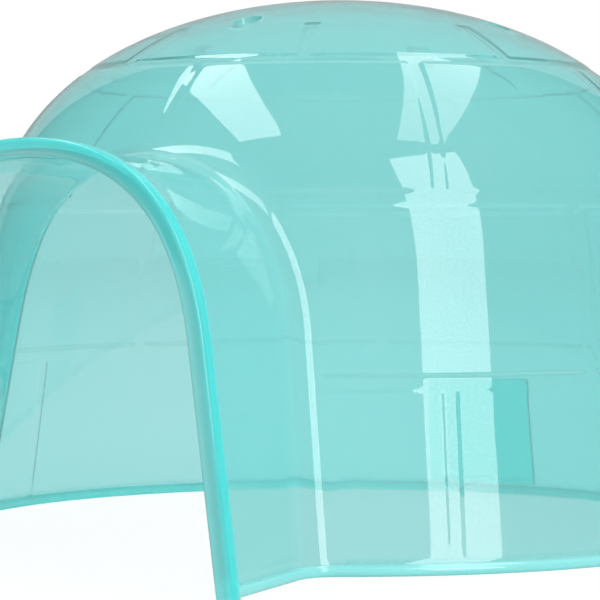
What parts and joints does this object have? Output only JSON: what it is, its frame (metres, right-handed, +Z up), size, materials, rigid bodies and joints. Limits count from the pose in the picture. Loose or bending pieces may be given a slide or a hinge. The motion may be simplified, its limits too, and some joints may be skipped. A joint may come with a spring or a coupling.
{
  "type": "rodent house",
  "caption": "Igloo-shaped shelter for a small pet, in clear tinted plastic, with an arched porch, block pattern, vented roof and open floor.",
  "frame": {"origin": "middle of the whole part's footprint, on the floor that the foot bead stands on", "axes": "+Z up to the crown, -Y out of the doorway along the porch, +X to the right of someone who faces the doorway"},
  "size_m": [0.22, 0.2545, 0.145],
  "materials": {
    "clear_shell": "clear injection-moulded polystyrene tinted aqua, glossy as moulded",
    "thick_edge": "the same tinted plastic where it is thicker, so it looks deeper in colour"
  },
  "bodies": {
    "root": {"roof_cap": "clear_shell", "upper_course": "clear_shell", "middle_course": "clear_shell", "lower_course": "clear_shell", "foot_bead": "thick_edge", "porch": "clear_shell", "doorway_lip": "thick_edge", "back_panel": "thick_edge"}
  },
  "joints": []
}
